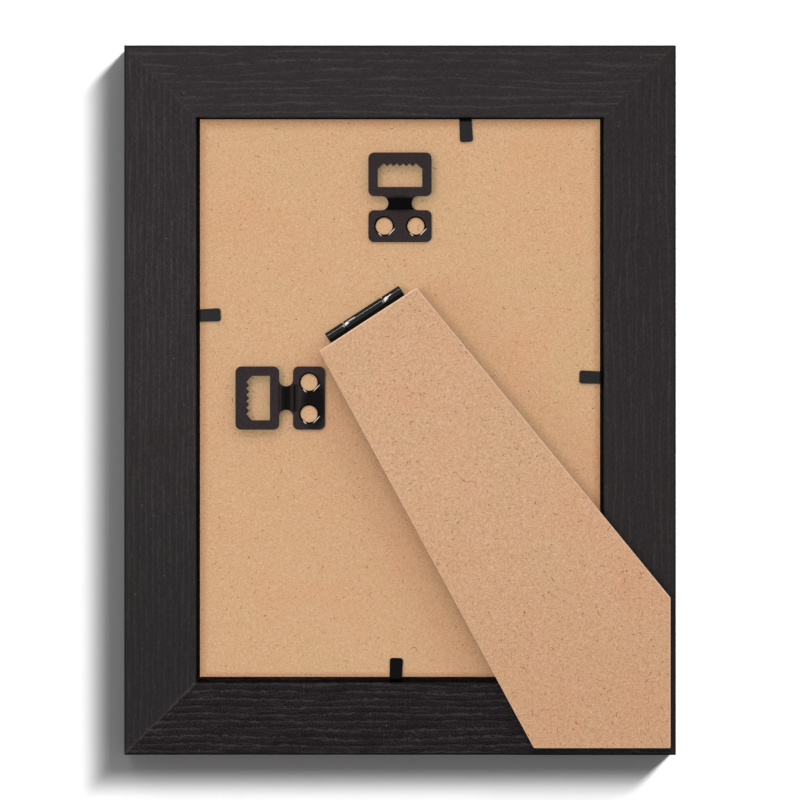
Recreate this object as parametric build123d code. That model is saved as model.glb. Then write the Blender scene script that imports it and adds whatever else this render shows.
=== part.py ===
from build123d import *
import os
from math import asin, cos, degrees, radians, sin, tan

# Easel back photo frame for a 5 x 7 in print, in millimetres.
# Pieces are drawn with the frame lying on its face: x to the right as seen from behind,
# y up from the bottom edge, z out of the back from the front face.
# The last section stands them up, picture side towards -Y.

# Print and moulding
photo_width = 127.0
photo_height = 177.8
photo_clearance = 2.2
rail_width = 23.2
lip_width = 5.5
frame_depth = 14.0
front_edge_radius = 1.0
back_edge_radius = 0.4

# V-nails across the mitres
nail_inset_share = 0.55
nail_arm = 4.5
nail_sheet = 0.4
nail_height = 7.0
nail_sink = 0.6

# Sheets in the rebate
glass_thickness = 2.0
insert_thickness = 0.4
board_thickness = 2.6
sheet_clearance = 1.2
sheet_rise = 0.62

# Flex tabs: where each sits along its rail, and how far it leans from square, in degrees
tab_offsets = {"top": -21.1, "bottom": -1.4, "left": -27.2, "right": 7.2}
tab_skews = {"top": 2.6, "bottom": -2.0, "left": 2.5, "right": -2.0}
tab_sheet = 0.5
tab_root_width = 4.0
tab_tip_width = 4.3
tab_reach = 7.9
tab_corner = 0.9
tab_board_gap = 0.15
tab_pivot_gap = 0.05
shank_length = 7.0
shank_point = 2.0

# Sawtooth hangers
hanger_width = 20.4
hanger_sheet = 0.8
hanger_rise = 2.0
plate_height = 10.3
plate_corner = 1.85
neck_length = 4.4
neck_width = 7.6
neck_fillet_share = 0.48
ramp_share = 0.84
bend_radius = 0.7
loop_height = 14.1
loop_corner = 1.9
window_width = 14.3
window_inset = 3.0
window_height = 7.6
window_corner_cut = 1.75
teeth = 5
tooth_pitch = 2.05
tooth_depth = 0.95
collar_spacing = 10.2
collar_bore = 5.55
collar_wall = 0.45
collar_rim_radius = 0.42
rim_notches = 4
rim_notch_radius = 0.45
rim_notch_depth = 0.6
flare_height = 0.9
flare_spread = 0.6
flare_sink = 0.2
collar_fit = 0.03
portrait_hanger_gap = 10.8
landscape_hanger_gap = 11.5

# Easel hinge
hinge_side = 11.4
hinge_height = 27.65
hinge_tilt = 33.0
hinge_sheet = 0.6
barrel_radius = 1.75
barrel_length = 28.4
barrel_lift = 0.2
middle_knuckle = 14.5
knuckle_gap = 0.25
knuckle_round = 0.35
pin_clearance = 0.05
leaf_length = 16.0
leg_leaf_width = 26.0
leg_leaf_gap = 0.4
leg_swing = 33.0
curl_past = 5.0
curl_lead = 8.0
stop_gap = 0.05
prong_width = 2.0
prong_height = 2.0
prong_spread = 18.0
prong_rows = [5.5, 12.0]
rivet_spread = 16.0
rivet_row = 9.0
rivet_shank_radius = 1.2
rivet_head_radius = 2.0
rivet_head_height = 0.5

# Easel leg
leg_thickness = 3.0
leg_top_width = 37.4
leg_top_gap = 1.96
leg_left_flare = 4.6
leg_right_flare = 6.3
leg_rest_gap = 0.3
foot_inset = 2.35
foot_side_inset = 1.9

# Extra reach of cutting shapes, past the faces they cut
cut_margin = 1.0

# Sizes that follow from the above
opening_width = photo_width + 2 * photo_clearance
opening_height = photo_height + 2 * photo_clearance
frame_width = opening_width + 2 * rail_width
frame_height = opening_height + 2 * rail_width
middle_y = frame_height / 2

axis_height = barrel_radius + barrel_lift
leg_underside = axis_height + hinge_sheet / 2
board_back = frame_depth - leg_underside + leg_rest_gap
board_front = board_back - board_thickness
insert_front = board_front - insert_thickness
lip_depth = insert_front - glass_thickness

sheet_width = opening_width - 2 * sheet_clearance
sheet_height = opening_height - 2 * sheet_clearance
sheet_y = middle_y + sheet_rise

# Each side of the frame: x along the outer edge, y inwards, and the rail's length
side_places = {
    "bottom": Pos(0, 0, 0),
    "right": Pos(frame_width / 2, middle_y, 0) * Rot(0, 0, 90),
    "top": Pos(0, frame_height, 0) * Rot(0, 0, 180),
    "left": Pos(-frame_width / 2, middle_y, 0) * Rot(0, 0, 270),
}
side_lengths = {"bottom": frame_width, "right": frame_height, "top": frame_width, "left": frame_height}

# The hinge's own frame: x along the pin, y towards the foot, z up from the board's back
tilt = radians(hinge_tilt)
hinge_place = Plane(
    origin=(-hinge_side, middle_y + hinge_height, board_back),
    x_dir=(-cos(tilt), -sin(tilt), 0),
    z_dir=(0, 0, 1),
).location


def slab(width, height, thickness):
    """A flat sheet centred on x and y, standing on z = 0."""
    return Box(width, height, thickness, align=(Align.CENTER, Align.CENTER, Align.MIN))


def rail(length):
    """One rail along x with its outer edge on y = 0, a rebate behind its lip and 45 degree ends."""
    reach = rail_width + lip_width
    section = make_face(
        Polyline(
            (0, 0),
            (reach, 0),
            (reach, lip_depth),
            (rail_width, lip_depth),
            (rail_width, frame_depth),
            (0, frame_depth),
            close=True,
        )
    )
    section = fillet(section.vertices().group_by(Axis.Y)[0], front_edge_radius)
    section = fillet(section.vertices().group_by(Axis.Y)[-1], back_edge_radius)
    half = length / 2
    blank = extrude(Plane.YZ * section, amount=half + cut_margin, both=True)
    triangle = make_face(
        Polyline((-half - cut_margin, -cut_margin), (half + cut_margin, -cut_margin), (0, half), close=True)
    )
    mitre = Pos(0, 0, -cut_margin) * extrude(triangle, frame_depth + 2 * cut_margin)
    return blank & mitre


def v_nail():
    """A V-nail in a corner that points to +x and +y, its arms reaching one into each rail."""
    inset = rail_width * nail_inset_share
    along = Box(nail_arm, nail_sheet, nail_height, align=(Align.MIN, Align.CENTER, Align.MAX))
    across = Box(nail_sheet, nail_arm, nail_height, align=(Align.CENTER, Align.MIN, Align.MAX))
    apex = Box(nail_sheet, nail_sheet, nail_height, align=(Align.CENTER, Align.CENTER, Align.MAX))
    return Pos(-inset, -inset, frame_depth - nail_sink) * (along + across + apex)


def tab_shank():
    """The buried half of a tab, driven into the rebate wall, which is y = 0, and pointed at its end."""
    half = tab_root_width / 2
    outline = make_face(
        Polyline(
            (-half, 0),
            (-half, shank_point - shank_length),
            (0, -shank_length),
            (half, shank_point - shank_length),
            (half, 0),
            close=True,
        )
    )
    return Pos(0, 0, tab_board_gap) * extrude(outline, tab_sheet)


# A tab bends about the round end of its flap, just clear of the rebate wall
tab_pivot_y = tab_sheet / 2 + tab_pivot_gap
tab_pivot_z = tab_board_gap + tab_sheet / 2


def tab_flap(skew):
    """The half of a tab that bends up from the board, drawn about its pivot line, then moved to it."""
    root = tab_root_width / 2
    tip = tab_tip_width / 2
    length = tab_reach - tab_pivot_y
    outline = make_face(Polyline((-root, 0), (root, 0), (tip, length), (-tip, length), close=True))
    outline = fillet(outline.vertices().group_by(Axis.Y)[-1], tab_corner)
    blade = Pos(0, 0, -tab_sheet / 2) * extrude(Rot(0, 0, skew) * outline, tab_sheet)
    bead = Rot(0, 90, 0) * Cylinder(tab_sheet / 2, tab_root_width)
    return Pos(0, tab_pivot_y, tab_pivot_z) * (blade + bead)


def hanger_plan():
    """The hanger seen square on: plate, waisted neck and toothed loop, with y towards the loop."""
    loop_low = plate_height + neck_length
    plate = Pos(0, plate_height / 2) * RectangleRounded(hanger_width, plate_height, plate_corner)
    loop = Pos(0, loop_low + loop_height / 2) * RectangleRounded(hanger_width, loop_height, loop_corner)
    neck = Pos(0, plate_height + neck_length / 2) * Rectangle(neck_width, 2 * neck_length)
    plan = plate + neck + loop
    waist = plan.vertices().filter_by_position(Axis.X, -neck_width, neck_width)
    plan = fillet(waist, neck_length * neck_fillet_share)

    half = window_width / 2
    low = loop_low + window_inset
    high = low + window_height
    points = [(-half, low), (half, low), (half, high - window_corner_cut)]
    for step in range(2 * teeth + 1):
        drop = tooth_depth if step % 2 else 0
        points.append(((teeth - step) * tooth_pitch / 2, high - drop))
    points.append((-half, high - window_corner_cut))
    return plan - make_face(Polyline(*points, close=True))


def hanger_side():
    """The hanger's sheet seen from the side: flat on the board, up a ramp, and flat again."""
    length = plate_height + neck_length + loop_height
    ramp = neck_length * ramp_share
    start = plate_height + (neck_length - ramp) / 2
    end = start + ramp
    slope = asin(hanger_rise / (hanger_rise**2 + ramp**2) ** 0.5)
    shift = hanger_sheet * tan(slope / 2)
    top = hanger_rise + hanger_sheet
    outer = bend_radius + hanger_sheet
    lower_points = [(0, 0), (start, 0), (end, hanger_rise), (length, hanger_rise)]
    upper_points = [(0, hanger_sheet), (start - shift, hanger_sheet), (end - shift, top), (length, top)]
    lower = FilletPolyline(*lower_points, radius=[outer, bend_radius])
    upper = FilletPolyline(*upper_points, radius=[bend_radius, outer])
    heel = Line((0, 0), (0, hanger_sheet))
    toe = Line((length, hanger_rise), (length, top))
    return make_face(lower.edges() + toe.edges() + upper.edges() + heel.edges())


collar_radius = collar_bore / 2 + collar_wall
collar_low = flare_sink - board_thickness
flare_top = collar_low + flare_height
flare_radius = collar_radius + flare_spread


def collar():
    """A collar drawn from the hanger's plate down through the board, flared at the board's front."""
    bore = collar_bore / 2
    section = make_face(
        Polyline(
            (bore, 0),
            (collar_radius, 0),
            (collar_radius, flare_top),
            (flare_radius, collar_low),
            (flare_radius - collar_wall, collar_low),
            (bore, flare_top),
            close=True,
        )
    )
    return revolve(Plane.XZ * section, Axis.Z)


def collar_hole():
    """The hole a collar makes in the board, opened out for its flare."""
    wall = collar_radius + collar_fit
    mouth = flare_radius + collar_fit
    section = make_face(
        Polyline(
            (0, cut_margin),
            (wall, cut_margin),
            (wall, flare_top),
            (mouth, collar_low),
            (mouth, -board_thickness - cut_margin),
            (0, -board_thickness - cut_margin),
            close=True,
        )
    )
    return revolve(Plane.XZ * section, Axis.Z)


def collar_core():
    """The disc of board left inside a collar."""
    core_align = (Align.CENTER, Align.CENTER, Align.MAX)
    return Cylinder(collar_bore / 2 - collar_fit, -collar_low, align=core_align)


collar_places = [Pos(side * collar_spacing / 2, plate_height / 2, 0) for side in (-1, 1)]


def hanger():
    """A hanger with its plate on z = 0, the plate's free edge on y = 0 and its collars' rims notched."""
    strip = extrude(Plane.YZ * hanger_side(), amount=hanger_width, both=True)
    plan = Pos(0, 0, -cut_margin) * extrude(hanger_plan(), hanger_rise + hanger_sheet + 2 * cut_margin)
    sheet = strip & plan
    for place in collar_places:
        sheet = sheet - place * Cylinder(collar_bore / 2, 2 * hanger_sheet + cut_margin)
        sheet = sheet + place * collar()
    rims = [
        edge
        for edge in sheet.edges().filter_by(GeomType.CIRCLE)
        if abs(edge.radius - collar_bore / 2) < collar_fit
        and abs(edge.center().Z - hanger_sheet) < collar_fit
    ]
    sheet = fillet(rims, collar_rim_radius)
    notch = Pos(collar_bore / 2, 0, hanger_sheet) * Cylinder(rim_notch_radius, 2 * rim_notch_depth)
    for place in collar_places:
        for step in range(rim_notches):
            sheet = sheet - place * Rot(0, 0, step * 360 / rim_notches) * notch
    return sheet


bore_radius = barrel_radius - hinge_sheet


def knuckle(length):
    """A rolled knuckle round the pin, centred on the hinge, with rounded ends."""
    wall = Pos(0, (barrel_radius + bore_radius) / 2) * Rectangle(length, hinge_sheet)
    wall = fillet(wall.vertices().group_by(Axis.Y)[-1], knuckle_round)
    return Pos(0, 0, axis_height) * revolve(wall, Axis.X)


def along_pin(section, length):
    """Extrudes a section drawn round the pin to this length, centred on the hinge."""
    return Pos(0, 0, axis_height) * extrude(Plane.YZ * section, amount=length / 2, both=True)


def curl_opening():
    """The gap in the leg leaf's knuckle: its curl stops just past straight down, short of the leaf."""
    reach = 2 * barrel_radius
    first = radians(-curl_lead)
    last = radians(-90 - curl_past)
    angles = (first, (first + last) / 2, last)
    corners = [(reach * cos(angle), reach * sin(angle)) for angle in angles]
    return along_pin(make_face(Polyline((0, 0), *corners, close=True)), barrel_length)


def hinge_board_leaf():
    """The leaf on the board, with the outer two knuckles and a stop edge under the middle one."""
    outer_length = (barrel_length - middle_knuckle) / 2 - knuckle_gap
    outer_x = (barrel_length - outer_length) / 2
    leaf = Box(barrel_length, leaf_length, hinge_sheet, align=(Align.CENTER, Align.MIN, Align.MIN))
    stop_edge = barrel_radius * sin(radians(leg_swing - curl_past)) + stop_gap
    notch = Box(middle_knuckle + 2 * knuckle_gap, 2 * stop_edge, 2 * hinge_sheet + cut_margin)
    leaf = leaf - notch
    for side in (-1, 1):
        leaf = leaf + Pos(side * outer_x, 0, 0) * knuckle(outer_length)
    leaf = leaf - along_pin(Circle(bore_radius), barrel_length)
    for place in rivet_places:
        leaf = leaf - place * Cylinder(rivet_shank_radius, 2 * hinge_sheet + cut_margin)
    return leaf


def prong():
    """A pointed prong of the leg leaf, standing on the leaf's upper face."""
    half = prong_width / 2
    outline = make_face(
        Polyline(
            (-half, -hinge_sheet),
            (half, -hinge_sheet),
            (half, 0),
            (0, prong_height),
            (-half, 0),
            close=True,
        )
    )
    return Pos(0, 0, leg_underside) * extrude(Plane.XZ * outline, amount=hinge_sheet / 2, both=True)


prong_places = [Pos(side * prong_spread / 2, row, 0) for side in (-1, 1) for row in prong_rows]
rivet_places = [Pos(side * rivet_spread / 2, rivet_row, 0) for side in (-1, 1)]


def hinge_leg_leaf():
    """The leaf under the leg: middle knuckle, plate and prongs. Its curl meets the stop edge."""
    wide_start = barrel_radius + leg_leaf_gap
    low = axis_height - hinge_sheet / 2
    plate_align = (Align.CENTER, Align.MIN, Align.MIN)
    window_align = (Align.CENTER, Align.MIN, Align.CENTER)
    neck_start = (barrel_radius + bore_radius) / 2
    leaf = knuckle(middle_knuckle) - curl_opening()
    neck = Box(middle_knuckle, leaf_length - neck_start, hinge_sheet, align=plate_align)
    plate = Box(leg_leaf_width, leaf_length - wide_start, hinge_sheet, align=plate_align)
    leaf = leaf + Pos(0, neck_start, low) * neck + Pos(0, wide_start, low) * plate
    for place in prong_places:
        window = Box(prong_width, prong_height, 2 * hinge_sheet, align=window_align)
        leaf = leaf - place * Pos(0, hinge_sheet / 2, axis_height) * window
        leaf = leaf + place * prong()
    return leaf


def hinge_pin():
    """The wire through the three knuckles."""
    return along_pin(Circle(bore_radius - pin_clearance), barrel_length)


def rivet():
    """A rivet from a domed head on the board leaf to a tail spread in the board's front."""
    tail_radius = rivet_shank_radius + flare_spread
    dome_radius = (rivet_head_radius**2 + rivet_head_height**2) / (2 * rivet_head_height)
    head_top = hinge_sheet + rivet_head_height
    dome_start = degrees(asin((dome_radius - rivet_head_height) / dome_radius))
    outline = Polyline(
        (0, head_top),
        (0, collar_low),
        (tail_radius, collar_low),
        (rivet_shank_radius, flare_top),
        (rivet_shank_radius, hinge_sheet),
        (rivet_head_radius, hinge_sheet),
    )
    dome = CenterArc((0, head_top - dome_radius), dome_radius, dome_start, 90 - dome_start)
    return revolve(Plane.XZ * make_face(outline.edges() + dome.edges()), Axis.Z)


def easel_leg():
    """The leg: a taper from the hinge, cut level at the foot and plumb at the side."""
    half = leg_top_width / 2
    length = frame_height
    left = half + length * tan(radians(leg_left_flare))
    right = half + length * tan(radians(leg_right_flare))
    taper = make_face(Polyline((half, 0), (left, length), (-right, length), (-half, 0), close=True))
    blank = hinge_place * Pos(0, leg_top_gap, leg_underside) * extrude(taper, leg_thickness)
    kept_width = frame_width - foot_side_inset
    kept = Pos(frame_width / 2 - foot_side_inset, foot_inset, 0) * Box(
        kept_width, frame_height, 2 * frame_depth, align=(Align.MAX, Align.MIN, Align.MIN)
    )
    leg = blank & kept
    for place in prong_places:
        leg = leg - hinge_place * place * prong()
    return leg


# Where each piece lies
corner_places = [
    Pos(frame_width / 2, frame_height, 0),
    Pos(-frame_width / 2, frame_height, 0) * Rot(0, 0, 90),
    Pos(-frame_width / 2, 0, 0) * Rot(0, 0, 180),
    Pos(frame_width / 2, 0, 0) * Rot(0, 0, 270),
]
hanger_length = plate_height + neck_length + loop_height
portrait_y = sheet_y + sheet_height / 2 - portrait_hanger_gap - hanger_length
landscape_x = -sheet_width / 2 + landscape_hanger_gap + hanger_length
hanger_places = {
    "portrait": Pos(0, portrait_y, board_back),
    "landscape": Pos(landscape_x, sheet_y, board_back) * Rot(0, 0, 90),
}
tab_places = {
    side: side_places[side] * Pos(offset, rail_width, board_back) for side, offset in tab_offsets.items()
}

nodes = {}

nails = [place * v_nail() for place in corner_places]
nodes["corner_v_nails"] = Compound([nail.solid() for nail in nails])

for side, place in side_places.items():
    piece = place * rail(side_lengths[side])
    for nail in nails:
        piece = piece - nail
    shank = tab_places[side] * tab_shank()
    nodes[f"rail_{side}"] = piece - shank
    nodes[f"tab_shank_{side}"] = shank
    nodes[f"tab_flap_{side}"] = tab_places[side] * tab_flap(tab_skews[side])

nodes["glass"] = Pos(0, sheet_y, lip_depth) * slab(sheet_width, sheet_height, glass_thickness)
nodes["photo_insert"] = Pos(0, sheet_y, insert_front) * slab(photo_width, photo_height, insert_thickness)

board = Pos(0, sheet_y, board_front) * slab(sheet_width, sheet_height, board_thickness)
cores = []
for name, place in hanger_places.items():
    nodes[f"{name}_hanger"] = place * hanger()
    for collar_place in collar_places:
        board = board - place * collar_place * collar_hole()
        cores.append(place * collar_place * collar_core())
nodes["hanger_cores"] = Compound([core.solid() for core in cores])

rivets = [hinge_place * place * rivet() for place in rivet_places]
for piece in rivets:
    board = board - piece
nodes["backing_board"] = board
nodes["hinge_rivets"] = Compound([piece.solid() for piece in rivets])
nodes["hinge_board_leaf"] = hinge_place * hinge_board_leaf()
nodes["hinge_leg_leaf"] = hinge_place * hinge_leg_leaf()
nodes["hinge_pin"] = hinge_place * hinge_pin()
nodes["easel_leg"] = easel_leg()

# Stand the frame on its bottom edge, with the middle of that edge's face at the origin
standing = Plane(origin=(0, -frame_depth / 2, 0), x_dir=(-1, 0, 0), z_dir=(0, 1, 0)).location

os.makedirs("parts", exist_ok=True)
for name, piece in nodes.items():
    export_step(standing * piece, f"parts/{name}.step")
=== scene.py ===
"""Looks of the easel back photo frame: finishes, stage, light and the camera behind it."""
from math import cos, pi, radians, sin

import bpy
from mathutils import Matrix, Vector


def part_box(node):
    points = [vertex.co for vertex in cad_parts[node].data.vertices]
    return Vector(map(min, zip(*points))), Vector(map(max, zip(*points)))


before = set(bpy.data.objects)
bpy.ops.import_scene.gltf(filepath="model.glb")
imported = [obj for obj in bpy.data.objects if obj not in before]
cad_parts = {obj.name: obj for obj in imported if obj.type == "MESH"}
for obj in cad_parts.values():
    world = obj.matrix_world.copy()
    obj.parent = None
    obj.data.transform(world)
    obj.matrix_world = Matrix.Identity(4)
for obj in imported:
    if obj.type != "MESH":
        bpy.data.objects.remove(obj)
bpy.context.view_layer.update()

MM = 0.001

# Sizes of the frame, in the row frame and in metres
FRAME_WIDTH = 177.8 * MM
FRAME_HEIGHT = 228.6 * MM
FRAME_HALF_DEPTH = 7.0 * MM
MIDDLE = Vector((0, 0, FRAME_HEIGHT / 2))

# Camera straight behind the frame, with the photograph's field at the back plane
CAMERA_DISTANCE = 1.5
FIELD_WIDTH = 257.75 * MM
SENSOR_WIDTH = 36.0

# Stage: a white floor on the picture side, and on the other a one-sided white wall with a lower floor.
# The wall is open where the frame hangs on it, so that light reaches the picture side.
STAGE_REACH = 6.0
FLOOR_GAP = 0.1 * MM
WALL_GAP = 0.5 * MM
WALL_DROP = 400.0 * MM
WALL_OVERLAP = 1.0 * MM
FLOOR_COLOUR = (0.35, 0.35, 0.35, 1)
FLOOR_GLOW = 0.31
WALL_COLOUR = (0.285, 0.285, 0.285, 1)
WORLD_COLOUR = (1, 1, 1, 1)
WORLD_LEVEL = 1.0

# Suns in a row above the wall, which throw one soft shadow with a square corner: how far each leans to
# the side and up, and its level. Then the sun over the floors: its position, level and spread
WALL_SUNS = [(0.48, 0.54), (0.64, 1.0), (0.80, 1.47), (0.96, 1.08), (1.12, 0.69)]
WALL_SUN_SPREAD = 10
FLOOR_SUN = ((-0.25, 0.35, 1.3), 2.5, 36)

# Soft lamps: name, position, size, and the level to which each lights a white face turned to it.
# The back fill lights the frame alone.
LAMPS = [
    ("back_key", (-0.3, 1.2, 1.5), 1.2, 0.15),
    ("back_glint", (0.5, 0.9, 0.9), 0.12, 0.1),
    ("back_fill", (0.55, 1.1, 0.0), 0.5, 0.24),
    ("front_key", (0.3, -1.2, 1.5), 1.2, 0.4),
]

# Cool low lamps that light the board alone. Only the leg stops them, so that its shade on either side is
# wide and ruddy
LOW_LAMPS = [
    ("low_right", (-1.0, 0.37, 0.664), 0.5, 0.68),
    ("low_left", (1.0, 0.37, -0.3), 0.5, 0.4),
]
LOW_LAMP_COLOUR = (0.5, 1, 1)

# Softened edges of the solids: their widths, the turn in degrees from which an edge counts as sharp, and
# the gap that is closed first
BOARD_EDGE = 0.15 * MM
LEG_EDGE = 0.36 * MM
TAB_EDGE = 0.16 * MM
SHARP_TURN = 50
WELD_GAP = 0.001 * MM

# Grain of the foil on each rail: the axis that it runs along, the spacing of its lines, how far they run
# between breaks, and how much they sway and fray
GRAIN_RUNS = {
    "top": (0, 2.8 * MM, 16 * MM, 2.5, 0.25),
    "bottom": (0, 2.4 * MM, 14 * MM, 1.8, 0.75),
    "left": (2, 1.9 * MM, 12 * MM, 1.6, 0.2),
    "right": (2, 2.5 * MM, 16 * MM, 2.2, 0.25),
}

# Its relief: the lines' width as a share of the spacing, the strength of lines and streaks, the depth of
# the troughs, the contrast and the width of the pores, and the share of the streaks
RELIEFS = {
    "top": (0.2, 0.24, 0.05, 1.4, 0.34 * MM, 0.5),
    "bottom": (0.13, 0.66, 0.22, 4.0, 0.28 * MM, 0.45),
    "left": (0.2, 0.24, 0.12, 1.7, 0.34 * MM, 0.6),
    "right": (0.17, 0.2, 0.05, 1.5, 0.34 * MM, 0.6),
}

# Strength of the pale lines at each rail's low and high mitres
SEAMS = {"top": (0.0, 0.06), "bottom": (0.14, 0.0), "left": (0.25, 0.06), "right": (0.08, 0.04)}

# Length and width of the grain's bends, frays and streaks, and its depth
BEND_GRAIN = (45 * MM, 9 * MM)
FRAY_GRAIN = (1.8 * MM, 0.8 * MM)
STREAK_GRAIN = (6 * MM, 0.55 * MM)
PORE_STRETCH = 1.8
GRAIN_DEPTH = 0.02 * MM

# Where the painted shade along the foil's outer edges ends and how much it loses there, and the inner and
# outer half widths of a mitre's pale line
RIM_SHADE_REACH = (0.52 * MM, 0.74 * MM)
RIM_SHADE_LOSS = 0.7
MITRE_LINE = (0.15 * MM, 0.9 * MM)

# Fibres of the hardboard: in each layer the size of a patch that lies one way and the fibres' length,
# then the width of all, the depth of the felt, and the tints of its greenish and ruddy clouds
FELT_LAYERS = [(1.9 * MM, 1.7 * MM), (1.3 * MM, 1.3 * MM)]
FIBRE_WIDTH = 0.26 * MM
FELT_DEPTH = 0.03 * MM
CLOUD_TINTS = [(0.35, (0.965, 0.99, 0.965)), (0.5, (0.985, 0.985, 0.985)), (0.65, (1.0, 0.95, 0.935))]

# Loose specks and strands: length and width, the strands' curl, and how far apart specks and strands lie,
# sparse on the board and dense on the leg
SPECK_SIZE = (0.35 * MM, 0.22 * MM)
STRAND_SIZE = (0.9 * MM, 0.14 * MM)
STRAND_CURL = 0.15
SPARSE = (3.2 * MM, 4.4 * MM)
DENSE = (2.2 * MM, 2.7 * MM)

# Painted shade along the board's border: how far in it starts to fade and is gone, its ruddy tint, and how
# many times narrower it is at the low and at the high end than at the sides
BORDER_REACH = (0.3 * MM, 3.0 * MM)
BORDER_SHADE_TINT = (0.82, 0.72, 0.69)
BORDER_LOW = 1.5
BORDER_HIGH = 0.75

# Depth of the coating's orange peel and of the paper's tooth, and the size of scratches on bare steel
PEEL_DEPTH = 0.008 * MM
PAPER_DEPTH = 0.01 * MM
SCRATCH = (3.3 * MM, 0.25 * MM, 0.25 * MM)

# Fineness of the patterns, in features per metre
DUST_FINENESS = 1500
FELT_FINENESS = 2600
CLOUD_FINENESS = 50
PEEL_FINENESS = 1500
HAZE_FINENESS = 90
PAPER_FINENESS = 1600

# Colours of dust and rubbed foil, of the painted dark reflection on the coating, of the painted highlights,
# and the tone of the painted shadow on the cores under the collars' edges
PALE_FOIL = (0.12, 0.105, 0.105, 1)
DARK_REFLECTION_TONE = (0.003, 0.003, 0.003, 1)
PAINTED_GLINT_COLOUR = (0.7, 0.69, 0.68, 1)
CORE_SHADOW_TONE = (0.02, 0.015, 0.012)

# Shade at the roots of the tabs: how far in from the outside of the frame it fades out, and its tone
ROOT_SHADE = (24.1 * MM, 24.9 * MM)
ROOT_TONE = 0.12

# Middles of the collars of the two hangers, across (x) and up (z), and the painted highlights on each: how
# far round from the right as seen from behind and the lean, both in degrees, and half the highlight's
# length.
# Then the clear part of the cores inside the collars
PORTRAIT_COLLARS = [(5.1 * MM, 170.4 * MM), (-5.1 * MM, 170.4 * MM)]
LANDSCAPE_COLLARS = [(29.35 * MM, 109.82 * MM), (29.35 * MM, 120.02 * MM)]
COLLAR_RADIUS = 3.05 * MM
COLLAR_GLINTS = [(-37, 46, 1.8 * MM), (-117, -45, 0.85 * MM)]
GLINT_HALF_WIDTH = 0.18 * MM
CORE_RADIUS = 2.78 * MM

# Painted reflection: bands of shade across the neck of the landscape hanger, from left to right as seen from
# behind, with their places in millimetres, and the height that they take up. Then the painted dark
# reflections on its plate and on the portrait hanger's neck: across, up, half width and half height
NECK_REFLECTION_BANDS = [
    (39.5, 1.0), (39.0, 0.45), (38.55, 0.83), (37.9, 0.32), (36.9, 0.17), (35.6, 0.22),
    (35.0, 0.83), (34.65, 0.76), (34.05, 0.05), (33.4, 0.6), (32.7, 0.9), (32.1, 1.0),
]
NECK_MIDDLE = 114.92 * MM
NECK_HALF = 4.6 * MM
PLATE_BLOT = (27.6 * MM, 112.8 * MM, 4.6 * MM, 9.0 * MM)
NECK_BLOT = (0.0, 177.6 * MM, 6.4 * MM, 2.75 * MM)

# Painted highlights on the hinge barrel: across, up, lean in degrees, half length and half width
HINGE_GLINTS = [
    (17.4 * MM, 138.75 * MM, 42, 1.45 * MM, 0.55 * MM),
    (15.6 * MM, 140.35 * MM, 31, 1.7 * MM, 0.15 * MM),
    (4.8 * MM, 146.6 * MM, 48, 1.4 * MM, 0.64 * MM),
    (3.6 * MM, 147.8 * MM, 40, 1.2 * MM, 0.2 * MM),
]


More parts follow.
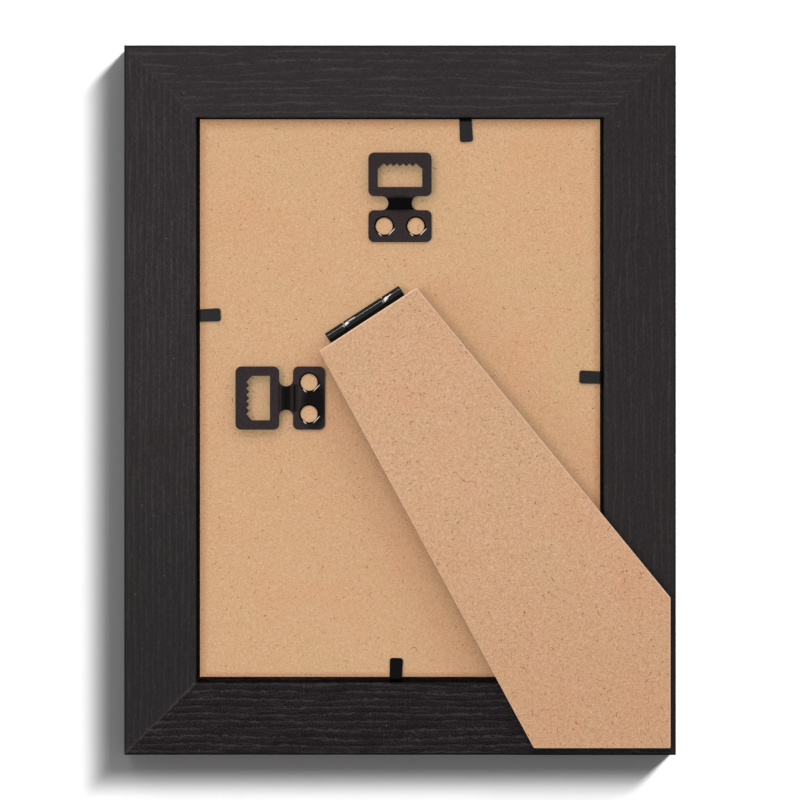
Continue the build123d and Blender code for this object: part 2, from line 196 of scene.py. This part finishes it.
class Finish:
    """A principled material, with short calls that add its nodes and give back their sockets."""

    def __init__(self, name, **shader):
        self.material = bpy.data.materials.new(name)
        self.material.use_nodes = True
        self.tree = self.material.node_tree
        self.shader = self.tree.nodes["Principled BSDF"]
        for socket, value in shader.items():
            self.shader.inputs[socket.replace("_", " ")].default_value = value

    def add(self, kind, inputs, output=0, **settings):
        """One node with its settings, and its inputs set or linked."""
        node = self.tree.nodes.new("ShaderNode" + kind)
        for setting, value in settings.items():
            setattr(node, setting, value)
        for socket, value in inputs.items():
            if isinstance(value, bpy.types.NodeSocket):
                self.tree.links.new(value, node.inputs[socket])
            else:
                node.inputs[socket].default_value = value
        return node.outputs[output]

    def link(self, socket, value):
        """Feed a varying value to one of the shader's inputs."""
        self.tree.links.new(value, self.shader.inputs[socket])

    def place(self):
        """Position on the piece, in metres."""
        return self.add("TexCoord", {}, "Object")

    def axes(self, vector=None):
        """The three parts of a vector, by default the position on the piece."""
        return self.add("SeparateXYZ", {0: vector or self.place()}).node.outputs

    def math(self, operation, a, b=0.0, c=0.0, clamp=False):
        return self.add("Math", {0: a, 1: b, 2: c}, operation=operation, use_clamp=clamp)

    def most(self, masks):
        """The strongest of several masks."""
        strongest = masks[0]
        for mask in masks[1:]:
            strongest = self.math("MAXIMUM", strongest, mask)
        return strongest

    def sized(self, sizes):
        """Position counted in features of these sizes."""
        return self.add("Mapping", {"Vector": self.place(), "Scale": sizes}, vector_type="TEXTURE")

    def noise(self, vector, scale=1.0, detail=2.0, roughness=0.5, distortion=0.0):
        settings = {"Scale": scale, "Detail": detail, "Roughness": roughness, "Distortion": distortion}
        return self.add("TexNoise", {"Vector": vector, **settings}, "Fac")

    def ease(self, value, low, high, to_low=0.0, to_high=1.0):
        """Smooth step of a value from low to high."""
        limits = {"From Min": low, "From Max": high, "To Min": to_low, "To Max": to_high}
        return self.add("MapRange", {"Value": value, **limits}, interpolation_type="SMOOTHSTEP")

    def near(self, cycle, share, width):
        """Soft band round one share of a repeating 0 to 1 cycle."""
        turned = self.math("FRACT", self.math("ADD", cycle, 0.5 - share))
        return self.within(turned, 0.5, 0.0, width)

    def within(self, value, centre, inner, outer):
        """Mask that is full inside one distance from a centre and gone outside another."""
        apart = self.math("ABSOLUTE", self.math("SUBTRACT", value, centre))
        return self.ease(apart, inner, outer, 1.0, 0.0)

    def ramp(self, factor, stops):
        """Colour by factor through (position, colour) stops."""
        node = self.tree.nodes.new("ShaderNodeValToRGB")
        self.tree.links.new(factor, node.inputs["Fac"])
        elements = node.color_ramp.elements
        while len(elements) < len(stops):
            elements.new(1.0)
        for element, (position, colour) in zip(elements, stops):
            element.position = position
            element.color = (*colour, 1)
        return node.outputs["Color"]

    def mix(self, factor, a, b, blend="MIX"):
        """Blend from colour a to colour b."""
        values = {0: factor, 6: a, 7: b}
        return self.add("Mix", values, 2, data_type="RGBA", blend_type=blend)

    def bump(self, height, depth, strength=1.0):
        values = {"Height": height, "Distance": depth, "Strength": strength}
        self.link("Normal", self.add("Bump", values))


def foil(side, colours, painted_low_shade=1.0, specular=0.12):
    """Black foil embossed with wood grain that runs along one axis, rubbed pale at the mitres."""
    along, spacing, segment, sway, fray = GRAIN_RUNS[side]
    line, strength, trough, tooth, pore, streak = RELIEFS[side]
    finish = Finish(f"foil_{side}", Specular_IOR_Level=specular)

    def grain(length, width):
        return finish.sized([length if axis == along else width for axis in range(3)])

    at = finish.axes()
    across = [axis for axis in range(3) if axis != along]
    over = finish.math("ADD", at[across[0]], at[across[1]])
    bends = finish.noise(grain(*BEND_GRAIN), detail=3.0, roughness=0.55)
    frays = finish.noise(grain(*FRAY_GRAIN))
    waves = finish.math("MULTIPLY_ADD", frays, fray, finish.math("MULTIPLY", bends, sway))
    cycle = finish.math("FRACT", finish.math("MULTIPLY_ADD", over, 1 / spacing, waves))
    breaks = finish.noise(grain(segment, spacing))
    lines = finish.math("MULTIPLY", finish.near(cycle, 0.5, line), finish.ease(breaks, 0.34, 0.56, 0.1, 1.0))
    streaks = finish.ease(finish.noise(grain(*STREAK_GRAIN)), 0.52, 0.72)
    troughs = finish.math("MULTIPLY", finish.near(cycle, 0.8, 0.3), finish.ease(breaks, 0.62, 0.4))
    pores = finish.noise(grain(pore * PORE_STRETCH, pore), detail=3.0, roughness=0.8)

    raised = finish.math("MULTIPLY_ADD", streaks, streak, lines)
    tone = finish.math("MULTIPLY_ADD", pores, tooth, 0.5 - tooth / 2)
    tone = finish.math("MULTIPLY_ADD", troughs, -trough, tone)
    tone = finish.math("MULTIPLY_ADD", raised, strength, tone, clamp=True)
    colour = finish.ramp(tone, list(zip((0.0, 0.5, 1.0), colours)))
    # Painted shade: darker towards the bottom in place of the sheen that fades there, and darker along the
    # outer edges
    fade = finish.ease(at["Z"], FRAME_HEIGHT * 0.08, FRAME_HEIGHT * 0.65, painted_low_shade, 1.0)
    colour = finish.mix(1.0, colour, finish.math("MULTIPLY", fade, painted_rim_shade(finish)), "MULTIPLY")
    dust = finish.ease(finish.noise(finish.place(), DUST_FINENESS, detail=0.0), 0.885, 0.92)
    pale = finish.math("MAXIMUM", dust, mitre_line(finish, breaks, *SEAMS[side]))
    finish.link("Base Color", finish.mix(pale, colour, PALE_FOIL))
    finish.link("Roughness", finish.ease(pores, 0.3, 0.7, 0.45, 0.62))
    finish.bump(finish.math("MULTIPLY_ADD", pores, 0.4, raised), GRAIN_DEPTH, 0.5)
    return finish.material


def from_outside(finish):
    """How far in from the nearer side of the frame, and from its nearer end."""
    at = finish.axes()
    from_side = finish.math("SUBTRACT", FRAME_WIDTH / 2, finish.math("ABSOLUTE", at["X"]))
    from_top = finish.math("SUBTRACT", FRAME_HEIGHT, at["Z"])
    return from_side, finish.math("MINIMUM", at["Z"], from_top)


def painted_rim_shade(finish):
    """The foil's tone, with a painted shade where it turns over the outer edges of the back and the front.
    """
    near = finish.math("MINIMUM", *from_outside(finish))
    level = finish.math("ABSOLUTE", finish.axes(finish.add("TexCoord", {}, "Normal"))["Y"])
    edge_shade = finish.math("MULTIPLY", finish.ease(near, *RIM_SHADE_REACH, 1.0, 0.0), level)
    return finish.math("MULTIPLY_ADD", edge_shade, -RIM_SHADE_LOSS, 1.0)


def mitre_line(finish, breaks, low, high):
    """Mask of thin broken lines at the mitres, with the strength of the low and the high ones."""
    at = finish.axes()
    line = finish.within(*from_outside(finish), *MITRE_LINE)
    worn = finish.ease(breaks, 0.35, 0.6, 0.3, 1.0)
    strength = finish.ease(at["Z"], FRAME_HEIGHT * 0.4, FRAME_HEIGHT * 0.6, low, high)
    return finish.math("MULTIPLY", finish.math("MULTIPLY", line, worn), strength)


def hardboard(name, middle, speck, contrast, foot=(1, 1, 1), shade=None, spread=SPARSE):
    """Raw thin MDF: matted pale and dark fibres, ruddy and greenish clouds, and a few loose strands."""
    finish = Finish(name, Specular_IOR_Level=0.1, Roughness=0.8)
    at = finish.place()
    tooth = finish.noise(at, FELT_FINENESS, detail=2.0, roughness=0.7, distortion=0.8)
    mats = [matted(finish, *layer) for layer in FELT_LAYERS]
    felt = finish.math("DIVIDE", finish.math("ADD", tooth, finish.math("ADD", *mats)), 3.0)
    dark = [c * (1 - share) for c, share in zip(middle, contrast)]
    light = [c * (1 + share) for c, share in zip(middle, contrast)]
    colour = finish.ramp(felt, [(0.33, dark), (0.5, middle), (0.67, light)])
    clouds = finish.noise(at, CLOUD_FINENESS, detail=5.0, roughness=0.6)
    colour = finish.mix(1.0, colour, finish.ramp(clouds, CLOUD_TINTS), "MULTIPLY")
    # Darker and ruddier towards the bottom, by the foot tint
    towards_foot = finish.ease(finish.axes()["Z"], 0.0, FRAME_HEIGHT * 0.4, 1.0, 0.0)
    colour = finish.mix(towards_foot, colour, (*foot, 1), "MULTIPLY")
    # Painted shade, where one is given
    if shade:
        colour = finish.mix(1.0, colour, shade(finish), "MULTIPLY")
    specks = strands(finish, spread[0], *SPECK_SIZE)
    loose = finish.math("MAXIMUM", specks, strands(finish, spread[1], *STRAND_SIZE))
    colour = finish.mix(loose, colour, (*speck, 1))
    finish.link("Base Color", colour)
    finish.bump(felt, FELT_DEPTH, 0.4)
    return finish.material


def random_cells(finish, cell):
    """Position on the face, the nearest of a random scatter of points, and three chances of its own."""
    at = finish.axes()
    flat = finish.add("CombineXYZ", {0: at["X"], 1: at["Z"]})
    cell_size = {"Vector": flat, "Scale": 1 / cell}
    cells = finish.add("TexVoronoi", cell_size, voronoi_dimensions="2D").node.outputs
    return flat, cells["Position"], finish.axes(cells["Color"])


def matted(finish, cell, length):
    """Noise drawn out into short fibres, which lie another way in each random cell."""
    flat, _, chance = random_cells(finish, cell)
    lean = {"Vector": flat, "Angle": finish.math("MULTIPLY", chance[0], pi)}
    turned = finish.add("VectorRotate", lean, rotation_type="Z_AXIS")
    sizes = (1 / length, 1 / FIBRE_WIDTH, 1)
    return finish.noise(finish.add("VectorMath", {0: turned, 1: sizes}, operation="MULTIPLY"), detail=1.0)


def painted_border_shade(finish):
    """The backing board's tone, with a painted shade near its sides that is darker and ruddier."""
    at = finish.axes()
    low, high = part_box("backing_board")
    from_side = finish.math("SUBTRACT", high[0], finish.math("ABSOLUTE", at["X"]))
    from_low = finish.math("MULTIPLY", finish.math("SUBTRACT", at["Z"], low[2]), BORDER_LOW)
    from_high = finish.math("MULTIPLY", finish.math("SUBTRACT", high[2], at["Z"]), BORDER_HIGH)
    from_end = finish.math("MINIMUM", from_low, from_high)
    inside = finish.ease(finish.math("MINIMUM", from_side, from_end), *BORDER_REACH)
    return finish.ramp(inside, [(0.0, BORDER_SHADE_TINT), (1.0, (1, 1, 1))])


def painted_core_shadow(finish):
    """The tone of the cores, with a painted shadow where the collars' rolled edges stand over them."""
    collars = PORTRAIT_COLLARS + LANDSCAPE_COLLARS
    rounds = [oval(finish, x, z, CORE_RADIUS, CORE_RADIUS) for x, z in collars]
    clear = finish.most([finish.ease(distance, 0.95, 1.0, 1.0, 0.0) for distance in rounds])
    return finish.ramp(clear, [(0.0, CORE_SHADOW_TONE), (1.0, (1, 1, 1))])


def strands(finish, cell, length, width):
    """Mask of loose curved fibres, or specks where short, one in each random cell, most of them faint."""
    flat, middle, chance = random_cells(finish, cell)
    offset = finish.add("VectorMath", {0: flat, 1: middle}, operation="SUBTRACT")
    lean = {"Vector": offset, "Angle": finish.math("MULTIPLY", chance[0], 2 * pi)}
    along, aside, _ = finish.axes(finish.add("VectorRotate", lean, rotation_type="Z_AXIS"))
    curl = finish.math("MULTIPLY", finish.math("MULTIPLY", along, along), STRAND_CURL / length)
    body = finish.within(finish.math("ADD", aside, curl), 0.0, width / 2, width)
    reach = finish.math("MULTIPLY", chance[1], length)
    ends = finish.math("LESS_THAN", finish.math("ABSOLUTE", along), reach)
    strength = finish.math("POWER", chance[2], 3.0)
    return finish.math("MULTIPLY", finish.math("MULTIPLY", body, ends), strength)


def coated_metal(name, flat, bend_shade, roughness, specular, shaded_rims=(), painted_glints=(), neck=(), blot=(), root=False):
    """Black coated sheet steel with a fine orange peel, painted sheen and shade, and painted highlights."""
    finish = Finish(name, Specular_IOR_Level=specular)
    peel = finish.noise(finish.place(), PEEL_FINENESS, detail=3.0, roughness=0.6)
    facing = finish.axes(finish.add("TexCoord", {}, "Normal"))["Y"]
    # Painted sheen and shade: the flat colour, a grey sheen on the hangers, where a face turns to the back
    # or front, the bend shade elsewhere
    level = finish.ease(finish.math("ABSOLUTE", facing), 0.93, 0.995)
    satin_and_sheen = finish.ramp(peel, [(0.3, [c * 0.8 for c in flat]), (0.7, [c * 1.2 for c in flat])])
    colour = finish.mix(level, (*bend_shade, 1), satin_and_sheen)
    # Painted reflection in bands across the neck
    if neck:
        colour = painted_neck_reflections(finish, neck, satin_and_sheen, colour)
    # Painted dark reflection in an oval blot
    if blot:
        dark_reflection = finish.ease(oval(finish, *blot), 0.5, 1.25, 0.9, 0.0)
        colour = finish.mix(dark_reflection, colour, DARK_REFLECTION_TONE)
    # Painted shade: black on the collars' rolled edges
    if shaded_rims:
        rings = [oval(finish, x, z, COLLAR_RADIUS, COLLAR_RADIUS) for x, z in shaded_rims]
        rolled = finish.most([finish.within(ring, 0.98, 0.04, 0.1) for ring in rings])
        colour = finish.mix(rolled, colour, (*bend_shade, 1))
    # Painted shade where a tab comes out of the rail
    if root:
        out = finish.ease(finish.math("MINIMUM", *from_outside(finish)), *ROOT_SHADE, ROOT_TONE, 1.0)
        colour = finish.mix(1.0, colour, out, "MULTIPLY")
        finish.link("Specular IOR Level", finish.math("MULTIPLY", out, specular))
    # Painted highlights: pale strokes
    if painted_glints:
        glint_mask = finish.most([painted_glint_stroke(finish, *mark) for mark in painted_glints])
        colour = finish.mix(glint_mask, colour, PAINTED_GLINT_COLOUR)
    finish.link("Base Color", colour)
    finish.link("Roughness", finish.ease(peel, 0.3, 0.7, roughness * 0.8, roughness * 1.2))
    finish.bump(peel, PEEL_DEPTH, 0.3)
    return finish.material


def painted_neck_reflections(finish, shades, satin_and_sheen, colour):
    """Painted reflection bands across the neck, and the given colour above and below it."""
    at = finish.axes()
    left, right = shades[0][0] * MM, shades[-1][0] * MM
    share = finish.math("MULTIPLY_ADD", at["X"], 1 / (right - left), left / (left - right))
    stops = [((left - x * MM) / (left - right), [shade] * 3) for x, shade in shades]
    bands = finish.mix(1.0, satin_and_sheen, finish.ramp(share, stops), "MULTIPLY")
    inside = finish.within(at["Z"], NECK_MIDDLE, NECK_HALF * 0.9, NECK_HALF)
    beside = finish.within(at["X"], (left + right) / 2, (left - right) * 0.5, (left - right) * 0.51)
    return finish.mix(finish.math("MULTIPLY", inside, beside), colour, bands)


def oval(finish, x, z, half_width, half_height):
    """Distance from the middle of an upright oval, counted as 1 at its edge."""
    offset = finish.add("VectorMath", {0: finish.place(), 1: (x, 0, z)}, operation="SUBTRACT")
    sizes = (1 / half_width, 0, 1 / half_height)
    scaled = finish.add("VectorMath", {0: offset, 1: sizes}, operation="MULTIPLY")
    return finish.add("VectorMath", {0: scaled}, "Value", operation="LENGTH")


def painted_glint_stroke(finish, x, z, lean, half_length, half_width):
    """Mask of a short painted highlight on the back, leaning up to the right as seen from behind."""
    offset = finish.add("VectorMath", {0: finish.place(), 1: (x, 0, z)}, operation="SUBTRACT")
    along = (-cos(radians(lean)), 0, sin(radians(lean)))
    aside = (along[2], 0, -along[0])
    masks = []
    for direction, half in ((along, half_length), (aside, half_width)):
        apart = finish.add("VectorMath", {0: offset, 1: direction}, "Value", operation="DOT_PRODUCT")
        masks.append(finish.within(apart, 0.0, half * 0.4, half))
    return finish.math("MULTIPLY", *masks)


def collar_glints(collars):
    """The painted highlight strokes beside the collars of one hanger."""
    strokes = []
    for x, z in collars:
        for angle, lean, half_length in COLLAR_GLINTS:
            across = x - COLLAR_RADIUS * cos(radians(angle))
            up = z + COLLAR_RADIUS * sin(radians(angle))
            strokes.append((across, up, lean, half_length, GLINT_HALF_WIDTH))
    return strokes


def bare_steel(name, colour, roughness):
    """Drawn steel with fine scratches."""
    finish = Finish(name, Metallic=1.0)
    scratches = finish.noise(finish.sized(SCRATCH), detail=3.0)
    finish.link("Base Color", finish.ramp(scratches, [(0.3, [c * 0.8 for c in colour]), (0.7, colour)]))
    finish.link("Roughness", finish.ease(scratches, 0.3, 0.7, roughness - 0.1, roughness + 0.1))
    return finish.material


def clear_glass(name):
    """Clear float glass with a faint dust haze. Light goes straight through it to the paper."""
    finish = Finish(name, Base_Color=(0.96, 0.98, 0.97, 1), Transmission_Weight=1.0, IOR=1.5)
    haze = finish.noise(finish.place(), HAZE_FINENESS, detail=4.0)
    finish.link("Roughness", finish.ease(haze, 0.4, 0.8, 0.0, 0.03))
    path = finish.add("LightPath", {}).node.outputs
    through = finish.math("MAXIMUM", path["Is Shadow Ray"], path["Is Diffuse Ray"])
    clear = finish.add("BsdfTransparent", {})
    pane = finish.add("MixShader", {0: through, 1: finish.shader.outputs[0], 2: clear})
    finish.tree.links.new(pane, finish.tree.nodes["Material Output"].inputs["Surface"])
    return finish.material


def plain_paper(name):
    """Off-white paper insert with a fine tooth."""
    finish = Finish(name, Roughness=0.85, Specular_IOR_Level=0.1)
    tooth = finish.noise(finish.place(), PAPER_FINENESS, detail=4.0, roughness=0.65)
    finish.link("Base Color", finish.ramp(tooth, [(0.3, (0.76, 0.75, 0.72)), (0.7, (0.84, 0.83, 0.80))]))
    finish.bump(tooth, PAPER_DEPTH, 0.3)
    return finish.material


def wear(node, *materials):
    """Give a piece its finishes, the first over all of it."""
    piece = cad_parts[node]
    piece.data.materials.clear()
    for material in materials:
        piece.data.materials.append(material)


def soften(node, width, edge_finish=0):
    """Round off a piece's sharp edges by a hair, in one of its own finishes."""
    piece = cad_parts[node]
    weld = piece.modifiers.new("weld", "WELD")
    weld.merge_threshold = WELD_GAP
    bevel = piece.modifiers.new("soften", "BEVEL")
    bevel.width = width
    bevel.segments = 2
    bevel.limit_method = "ANGLE"
    bevel.angle_limit = radians(SHARP_TURN)
    bevel.harden_normals = True
    bevel.material = edge_finish


def sheet(name, corners, faces, material):
    """A flat stage piece."""
    mesh = bpy.data.meshes.new(name)
    mesh.from_pydata(corners, [], faces)
    mesh.materials.append(material)
    made = bpy.data.objects.new(name, mesh)
    bpy.context.scene.collection.objects.link(made)


def stage_material(name, lit_colour, hidden_side):
    """White where the stage suns reach it. To other rays a floor glows faintly in place of a bounce; a wall
    shows on one side only.
    """
    material = bpy.data.materials.new(name)
    material.use_nodes = True
    tree = material.node_tree
    tree.nodes.clear()
    output = tree.nodes.new("ShaderNodeOutputMaterial")
    path = tree.nodes.new("ShaderNodeLightPath")
    seen = path.outputs["Is Camera Ray"]
    for ray in ("Is Glossy Ray", "Is Transmission Ray"):
        either = tree.nodes.new("ShaderNodeMath")
        either.operation = "MAXIMUM"
        tree.links.new(seen, either.inputs[0])
        tree.links.new(path.outputs[ray], either.inputs[1])
        seen = either.outputs[0]
    lit = tree.nodes.new("ShaderNodeBsdfDiffuse")
    lit.inputs["Color"].default_value = lit_colour
    if hidden_side:
        other = tree.nodes.new("ShaderNodeBsdfTransparent")
        side = tree.nodes.new("ShaderNodeNewGeometry")
        front = tree.nodes.new("ShaderNodeMath")
        front.operation = "SUBTRACT"
        front.use_clamp = True
        tree.links.new(seen, front.inputs[0])
        tree.links.new(side.outputs["Backfacing"], front.inputs[1])
        seen = front.outputs[0]
    else:
        other = tree.nodes.new("ShaderNodeEmission")
        other.inputs["Strength"].default_value = FLOOR_GLOW
    mix = tree.nodes.new("ShaderNodeMixShader")
    tree.links.new(seen, mix.inputs["Fac"])
    tree.links.new(other.outputs[0], mix.inputs[1])
    tree.links.new(lit.outputs[0], mix.inputs[2])
    tree.links.new(mix.outputs[0], output.inputs["Surface"])
    return material


def lamp(name, kind, position, **settings):
    """A lamp at a position, turned to the middle of the frame."""
    data = bpy.data.lights.new(name, kind)
    for setting, value in settings.items():
        setattr(data, setting, value)
    made = bpy.data.objects.new(name, data)
    made.location = position
    made.rotation_mode = "QUATERNION"
    made.rotation_quaternion = (MIDDLE - Vector(position)).to_track_quat("-Z", "Y")
    bpy.context.scene.collection.objects.link(made)
    return made


def soft_box(name, position, size, level):
    """A square soft lamp that lights a white face turned to it to this level."""
    distance = (Vector(position) - MIDDLE).length
    return lamp(name, "AREA", position, shape="SQUARE", size=size, energy=level * (pi * distance) ** 2)


def stage_sun(name, position, level, spread, *receivers):
    """A sun that only these stage pieces feel, so that the frame's shadow on them is deep and soft."""
    made = lamp(name, "SUN", position, energy=level * pi, angle=radians(spread))
    light_only(made, [bpy.data.objects[receiver] for receiver in receivers])


def light_only(made, receivers, blockers=()):
    """Keep a lamp's light to these objects, and its shadows to those of the blockers if any are given."""
    made.light_linking.receiver_collection = gathered(made.name, receivers)
    if blockers:
        made.light_linking.blocker_collection = gathered(made.name + "_blockers", blockers)


def gathered(name, members):
    """A collection of these objects."""
    collection = bpy.data.collections.new(name)
    for member in members:
        collection.objects.link(member)
    return collection


def make_floors():
    """A floor on the picture side that reaches under the frame, and a lower one behind the frame."""
    white = stage_material("floor_white", FLOOR_COLOUR, False)
    reach, half, wall = STAGE_REACH, FRAME_WIDTH / 2, -FRAME_HALF_DEPTH - WALL_GAP
    outline = [(-reach, -reach), (reach, -reach), (reach, wall), (half, wall)]
    outline += [(half, FRAME_HALF_DEPTH), (-half, FRAME_HALF_DEPTH), (-half, wall), (-reach, wall)]
    sheet("front_floor", [(x, y, -FLOOR_GAP) for x, y in outline], [range(len(outline))], white)
    outline = [(-reach, wall), (reach, wall), (reach, reach), (-reach, reach)]
    sheet("back_floor", [(x, y, -WALL_DROP) for x, y in outline], [range(len(outline))], white)


def make_wall():
    """The wall against the picture side, open behind the frame."""
    reach, drop, wall = STAGE_REACH, -WALL_DROP, -FRAME_HALF_DEPTH - WALL_GAP
    half, low, high = FRAME_WIDTH / 2 - WALL_OVERLAP, WALL_OVERLAP, FRAME_HEIGHT - WALL_OVERLAP
    outside = [(reach, wall, drop), (-reach, wall, drop), (-reach, wall, reach), (reach, wall, reach)]
    inside = [(half, wall, low), (-half, wall, low), (-half, wall, high), (half, wall, high)]
    faces = [(0, 1, 5, 4), (1, 2, 6, 5), (2, 3, 7, 6), (3, 0, 4, 7)]
    sheet("wall", outside + inside, faces, stage_material("wall_white", WALL_COLOUR, True))


def make_light():
    """World and lamps."""
    for lean, level in WALL_SUNS:
        stage_sun(f"wall_sun_{lean}", MIDDLE + Vector((-lean, 1, lean)), level, WALL_SUN_SPREAD, "wall")
    stage_sun("floor_sun", *FLOOR_SUN, "front_floor", "back_floor")
    soft = {settings[0]: soft_box(*settings) for settings in LAMPS}
    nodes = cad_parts
    light_only(soft["back_fill"], nodes.values())
    for settings in LOW_LAMPS:
        low = soft_box(*settings)
        low.data.color = LOW_LAMP_COLOUR
        light_only(low, [nodes["backing_board"]], [nodes["easel_leg"]])
    world = bpy.data.worlds.new("white")
    world.use_nodes = True
    sky = world.node_tree.nodes["Background"]
    sky.inputs["Color"].default_value = WORLD_COLOUR
    sky.inputs["Strength"].default_value = WORLD_LEVEL
    bpy.context.scene.world = world


def make_camera():
    """Camera level with the middle of the frame, straight behind it."""
    data = bpy.data.cameras.new("camera")
    data.sensor_width = SENSOR_WIDTH
    data.lens = SENSOR_WIDTH * CAMERA_DISTANCE / FIELD_WIDTH
    camera = bpy.data.objects.new("camera", data)
    camera.location = MIDDLE + Vector((0, FRAME_HALF_DEPTH + CAMERA_DISTANCE, 0))
    camera.rotation_euler = (radians(90), 0, radians(180))
    bpy.context.scene.collection.objects.link(camera)
    bpy.context.scene.camera = camera


def dress_rails():
    """Foil of the four rails, the sides darker and the bottom darkest as painted shade, the bottom deeply
    grained.
    """
    soft = [(0.008, 0.006, 0.0064), (0.019, 0.015, 0.0158), (0.054, 0.0455, 0.047)]
    # Painted shade: the side rails are darker copies of the top's foil
    left, right = ([[c * share for c in colour] for colour in soft] for share in (0.94, 0.86))
    # Painted shade: the bottom rail's darker colours stand in for its lesser sheen
    deep = [(0.0018, 0.0006, 0.001), (0.0076, 0.0051, 0.0058), (0.037, 0.032, 0.033)]
    wear("rail_top", foil("top", soft))
    wear("rail_bottom", foil("bottom", deep, specular=0.06))
    wear("rail_left", foil("left", left, painted_low_shade=0.6))
    wear("rail_right", foil("right", right, painted_low_shade=0.85))


def dress_boards():
    """Hardboard of the backing board, the collar cores and the leg, with paler cut edges."""
    speck = (0.25, 0.09, 0.035)
    board = hardboard("hardboard", (0.55, 0.296, 0.165), speck, (0.2, 0.33, 0.55), shade=painted_border_shade)
    towards_foot = (0.955, 0.92, 0.9)
    leg = hardboard("leg_hardboard", (0.62, 0.37, 0.2215), speck, (0.28, 0.43, 0.65), towards_foot, spread=DENSE)
    # Painted light: the cores' hardboard is made a little paler to make up for the collars' shade
    core = hardboard("core_hardboard", (0.67, 0.42, 0.233), speck, (0.2, 0.31, 0.48), shade=painted_core_shadow)
    cut = hardboard("cut_edge", (0.7, 0.475, 0.33), (0.4, 0.22, 0.12), (0.2, 0.2, 0.2))
    wear("backing_board", board, cut)
    soften("backing_board", BOARD_EDGE, 1)
    wear("hanger_cores", core)
    wear("easel_leg", leg, cut)
    soften("easel_leg", LEG_EDGE, 1)


def dress_fittings():
    """Black hangers and hinge, and the steel of pin, rivets and V-nails."""
    black = (0.001, 0.001, 0.001)
    # Painted sheen: the hangers' flat faces get a grey sheen colour, their bends a black painted shade
    satin_and_sheen = {"flat": (0.034, 0.025, 0.0255), "bend_shade": black, "roughness": 0.28, "specular": 0.02}
    # Portrait hanger: painted shade on the collars, painted highlights beside them and a painted dark
    # reflection on the neck
    upright = {"shaded_rims": PORTRAIT_COLLARS, "painted_glints": collar_glints(PORTRAIT_COLLARS), "blot": NECK_BLOT}
    wear("portrait_hanger", coated_metal("portrait_hanger_black", **satin_and_sheen, **upright))
    sideways = {"shaded_rims": LANDSCAPE_COLLARS, "painted_glints": collar_glints(LANDSCAPE_COLLARS)}
    # Painted reflections: bands across the landscape neck and a dark blot on its plate
    painted_reflections = {"neck": NECK_REFLECTION_BANDS, "blot": PLATE_BLOT}
    wear("landscape_hanger", coated_metal("landscape_hanger_black", **satin_and_sheen, **sideways, **painted_reflections))
    gloss = {"flat": black, "bend_shade": black, "roughness": 0.12, "specular": 0.22}
    hinge = coated_metal("hinge_black", **gloss, painted_glints=HINGE_GLINTS)
    wear("hinge_board_leaf", hinge)
    wear("hinge_leg_leaf", hinge)
    pin = bare_steel("pin_steel", (0.05, 0.05, 0.052), 0.4)
    wear("hinge_pin", pin)
    wear("hinge_rivets", pin)
    wear("corner_v_nails", bare_steel("nail_steel", (0.55, 0.55, 0.56), 0.4))


def dress_tabs():
    """Matt black tabs with painted shade at roots and edges, the bottom one a blacker copy as painted shade.
    """
    matt = {"bend_shade": (0.003, 0.003, 0.003), "roughness": 0.45, "root": True}
    tab = coated_metal("tab_black", flat=(0.0125, 0.011, 0.012), specular=0.14, **matt)
    # Painted shade: the bottom tab is a blacker copy of the tab finish
    shaded_tab = coated_metal("tab_shaded_black", flat=(0.003, 0.003, 0.0032), specular=0.035, **matt)
    for side in GRAIN_RUNS:
        for half in ("shank", "flap"):
            wear(f"tab_{half}_{side}", shaded_tab if side == "bottom" else tab)
            soften(f"tab_{half}_{side}", TAB_EDGE)


dress_rails()
dress_boards()
dress_fittings()
dress_tabs()
wear("glass", clear_glass("glass"))
wear("photo_insert", plain_paper("paper"))
make_floors()
make_wall()
make_light()
make_camera()
bpy.context.scene.view_settings.view_transform = "Standard"
